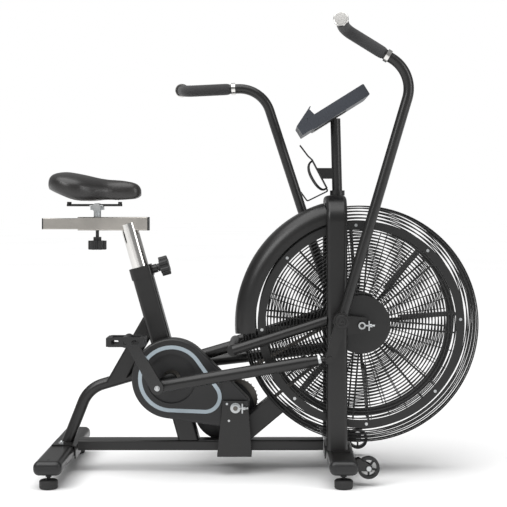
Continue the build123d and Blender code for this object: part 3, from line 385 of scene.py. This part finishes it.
saddle_pad = voxel_pad(rings_mesh([saddle_ring(*row) for row in SADDLE]))
inflate(saddle_pad)
cover_bm = bmesh.new()
cover_bm.from_mesh(saddle_pad.data)
for _ in range(SMOOTHINGS):
    bmesh.ops.smooth_vert(cover_bm, verts=cover_bm.verts, factor=0.5,
                          use_axis_x=True, use_axis_y=True, use_axis_z=True)
bpy.data.objects.remove(saddle_pad)
saddle = finish_piece("saddle_cover", cover_bm, "saddle", "saddle_leather", level=1, stands_for=("saddle",))


# ---- foam grips: the CAD path, with rounded ends and a soft surface ---------------------------------
PIVOT_X, _, PIVOT_Z = hinge_place["handle_right_swing"]
RISE, TURN, OUT = 0.734, math.radians(74.8), math.radians(20)    # pivot to bend, the bend, outward slope
OUT_BACK, OUT_UP = 0.79, 0.61                            # how the outward slope leans back and up
HANDLE_Y, REACH, OUTER = 0.2065, 0.234, 0.066
LEANS = {"right": 16.5275, "left": -18.0134}             # forward lean of each lever at rest, in degrees
GRIP_FROM, GRIP_BEND = 0.0975, 0.034
GRIP_R, GRIP_START_R, GRIP_END_R = 0.018, 0.0165, 0.0172
STRAIGHT_STEPS, ARC_STEPS, END_STEPS = 8, 12, 4


def grip_point(side, lean, distance, outward=0.0):
    """Point on a grip's line: a distance past the handle's bend, then outward."""
    lift = outward * math.tan(OUT)
    forward = -math.sin(TURN) * distance - lift * OUT_BACK
    up = RISE + math.cos(TURN) * distance + lift * OUT_UP
    tip = math.radians(lean)
    return Vector((PIVOT_X + forward * math.cos(tip) + up * math.sin(tip), side * (HANDLE_Y + outward),
                   PIVOT_Z - forward * math.sin(tip) + up * math.cos(tip)))


def rounded_route(a, b, c, bend):
    """Path from a to c whose corner at b is an arc."""
    u, w = (a - b).normalized(), (c - b).normalized()
    half = u.angle(w) / 2
    reach = bend / math.tan(half)
    center = b + (u + w).normalized() * bend / math.sin(half)
    first, last = b + u * reach, b + w * reach
    p, q = (first - center).normalized(), (last - center).normalized()
    out = [a.lerp(first, k / STRAIGHT_STEPS) for k in range(STRAIGHT_STEPS)]
    out += [center + p.slerp(q, k / ARC_STEPS) * bend for k in range(ARC_STEPS + 1)]
    out += [last.lerp(c, k / END_STEPS) for k in range(1, END_STEPS + 1)]
    return out


for name, side in SIDES:
    lean = LEANS[name]
    route = rounded_route(grip_point(side, lean, GRIP_FROM), grip_point(side, lean, REACH),
                          grip_point(side, lean, REACH, OUTER), GRIP_BEND)
    radii = [GRIP_START_R] + [GRIP_R] * (len(route) - 2) + [GRIP_END_R]
    grip = finish_piece(f"foam_grip_{name}", rings_mesh(tube_rings(route, radii)), f"handle_{name}",
                        "grip_foam", level=1, stands_for=(f"grip_{name}",))


# ---- fasteners and small trim that the CAD leaves plain ----------------------------------------------
CRANK_X, _, CRANK_Z = hinge_place["crank_turn"]
PIN_ANGLES = {"right": 202, "left": 382}                 # where each push rod's pin is, in degrees
PIN_RADIUS = 0.035
CRANK_BOLT_Y, PIVOT_CAP_Y, ROD_Y = 0.2141, 0.2411, 0.176
CRANK_BOLT, ROD_NUT = (0.010, 0.005, 0.0012), (0.022, 0.010)    # across flats, height, washer
LEVER, NUT_BACK = 0.1153, 0.033                          # pivot to rod eye, and eye to lock nut
PIVOT_CAP = [  # distance outward, radius: a ring cap with a raised middle
    (0, 0.0185), (0.0015, 0.0195), (0.003, 0.0185), (0.003, 0.013), (0.0016, 0.0125),
    (0.0016, 0.010), (0.0035, 0.0095), (0.0035, 0.0045), (0.0005, 0.004)]

for name, side in SIDES:
    outward = (0, side, 0)
    turn, lean = math.radians(PIN_ANGLES[name]), math.radians(LEANS[name])
    pin = Vector((CRANK_X + PIN_RADIUS * math.cos(turn), 0, CRANK_Z + PIN_RADIUS * math.sin(turn)))
    eye = Vector((PIVOT_X - LEVER * math.sin(lean), 0, PIVOT_Z - LEVER * math.cos(lean)))
    along_rod = (eye - pin).normalized()
    nut_place = eye - along_rod * NUT_BACK + Vector((0, side * ROD_Y, 0))
    finish_piece(f"crank_bolt_{name}", hex_head((pin.x, side * CRANK_BOLT_Y, pin.z), outward, *CRANK_BOLT),
                 "crank", "zinc", smooth=False, bevel=0.0006)
    finish_piece(f"pivot_cap_{name}", lathe((PIVOT_X, side * PIVOT_CAP_Y, PIVOT_Z), outward, PIVOT_CAP),
                 "frame", "frame_paint", bevel=0.0003)
    finish_piece(f"rod_nut_{name}", hex_head(nut_place, along_rod, *ROD_NUT), f"push_rod_{name}", "zinc",
                 smooth=False, bevel=0.0008)


# ---- floor, light, camera -------------------------------------------------------------------------------
FLOOR_HALF = 60
FLOOR_PALE = dict(dark=(0.90, 0.90, 0.90), light=(0.93, 0.93, 0.93), rough=0.9, spread=0.05, grain=60,
                  bump=0.05, patches=0.5)
WORLD_SEEN, WORLD_LIGHT = 1.0, 0.32      # background strength for the camera, and for the light it gives
SUN_POWER, SUN_ANGLE, SUN_TURN = 2.68, math.radians(70), (math.radians(12), math.radians(-8), 0)
AREAS = {  # place, target, size, power
    "key": ((-2.2, -2.6, 2.6), (0, 0, 0.6), (1.6, 1.6), 45),
    "rim": ((2.4, -1.6, 1.8), (0.2, 0, 0.6), (0.8, 2.0), 25)}
CAMERA_AT = (0.0345, -4.0, 0.7855)
LENS, SENSOR, SHIFT, CLIP_END = 94.9, 36, (-0.0325, -0.0917), 200


def add_object(name, data):
    obj = bpy.data.objects.new(name, data)
    scene.collection.objects.link(obj)
    return obj


def add_floor():
    floor_bm = bmesh.new()
    bmesh.ops.create_grid(floor_bm, x_segments=2, y_segments=2, size=FLOOR_HALF)
    floor_mesh = bpy.data.meshes.new("floor")
    floor_bm.to_mesh(floor_mesh)
    floor_bm.free()
    floor_mesh.materials.append(surface("studio_floor", **FLOOR_PALE))
    add_object("floor", floor_mesh)


def add_world():
    """White background that lights the object less than it shows."""
    world = bpy.data.worlds.new("studio")
    scene.world = world
    world.use_nodes = True
    tree = world.node_tree
    back = tree.nodes["Background"]
    back.inputs["Color"].default_value = (1, 1, 1, 1)
    path = tree.nodes.new("ShaderNodeLightPath")
    strength = tree.nodes.new("ShaderNodeMapRange")
    strength.inputs["To Min"].default_value = WORLD_LIGHT
    strength.inputs["To Max"].default_value = WORLD_SEEN
    tree.links.new(path.outputs["Is Camera Ray"], strength.inputs["Value"])
    tree.links.new(strength.outputs["Result"], back.inputs["Strength"])


def add_sun():
    data = bpy.data.lights.new("overhead", "SUN")
    data.energy = SUN_POWER
    data.angle = SUN_ANGLE
    add_object("overhead", data).rotation_euler = SUN_TURN


def add_area(name, where, target, size, power):
    """Rectangular soft light at one place, aimed at another."""
    data = bpy.data.lights.new(name, "AREA")
    data.shape = "RECTANGLE"
    data.size, data.size_y = size
    data.energy = power
    light = add_object(name, data)
    light.location = where
    light.rotation_euler = (Vector(target) - Vector(where)).to_track_quat("-Z", "Y").to_euler()


def add_camera():
    """Level camera on the object's right side, looking along +Y."""
    data = bpy.data.cameras.new("camera")
    data.lens = LENS
    data.sensor_width = SENSOR
    data.shift_x, data.shift_y = SHIFT
    data.clip_end = CLIP_END
    camera = add_object("camera", data)
    camera.location = CAMERA_AT
    camera.rotation_euler = (math.pi / 2, 0, 0)
    scene.camera = camera


add_floor()
add_world()
add_sun()
for name, facts in AREAS.items():
    add_area(name, *facts)
add_camera()
scene.view_settings.view_transform = "Standard"
